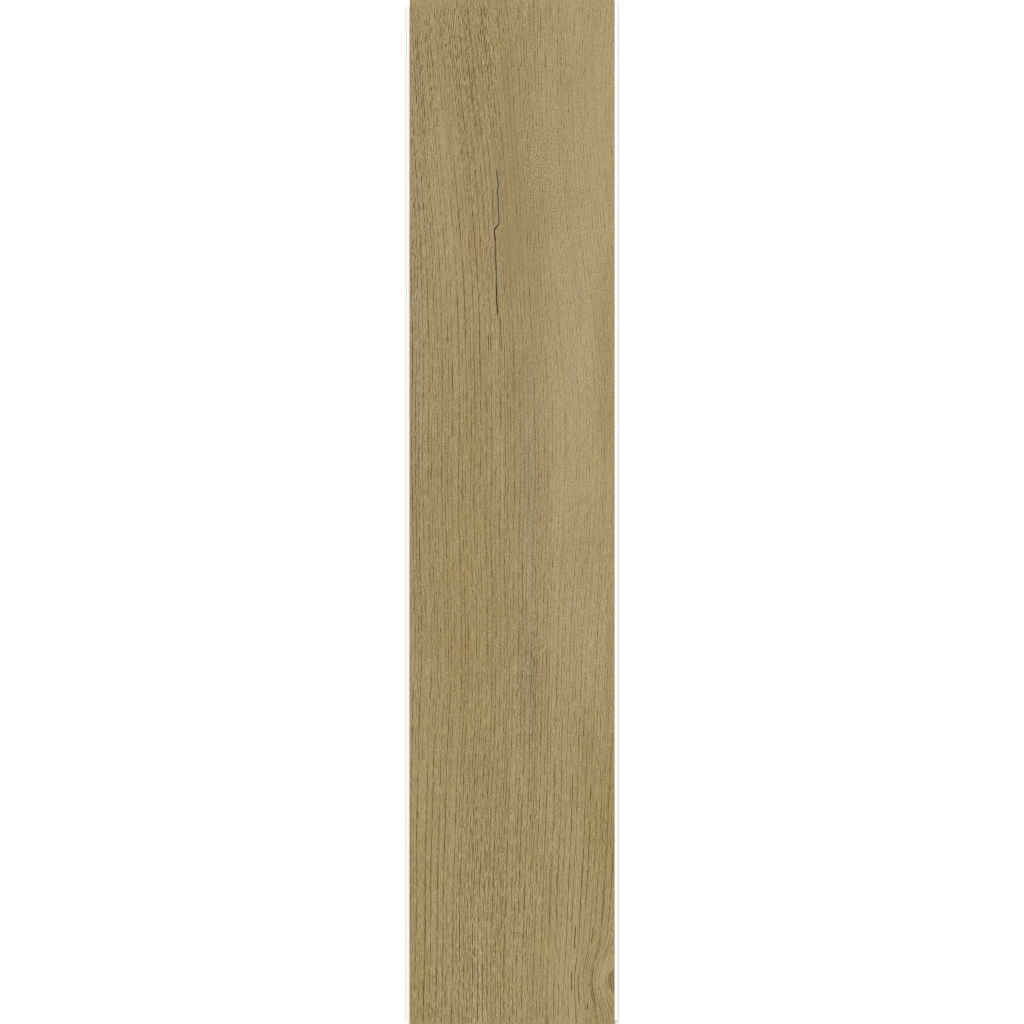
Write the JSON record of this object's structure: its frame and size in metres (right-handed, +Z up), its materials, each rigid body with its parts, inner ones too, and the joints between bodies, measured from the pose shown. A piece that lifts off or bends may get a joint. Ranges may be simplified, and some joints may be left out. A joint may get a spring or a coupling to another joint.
{
  "type": "herringbone floor plank",
  "caption": "Oak-look hybrid floor plank with a click-lock tongue on one long side and one end and a matching groove with a locking lip opposite, for laying in herringbone.",
  "frame": {"origin": "on the underside, below the middle of the visible face", "axes": "+Y along the plank towards the end with the tongue, +X across it towards the long side with the tongue, +Z up through the face"},
  "size_m": [0.1252, 0.6052, 0.0065],
  "materials": {
    "oak_decor": "matte"
  },
  "bodies": {
    "root": {"plank": "oak_decor"}
  },
  "joints": []
}
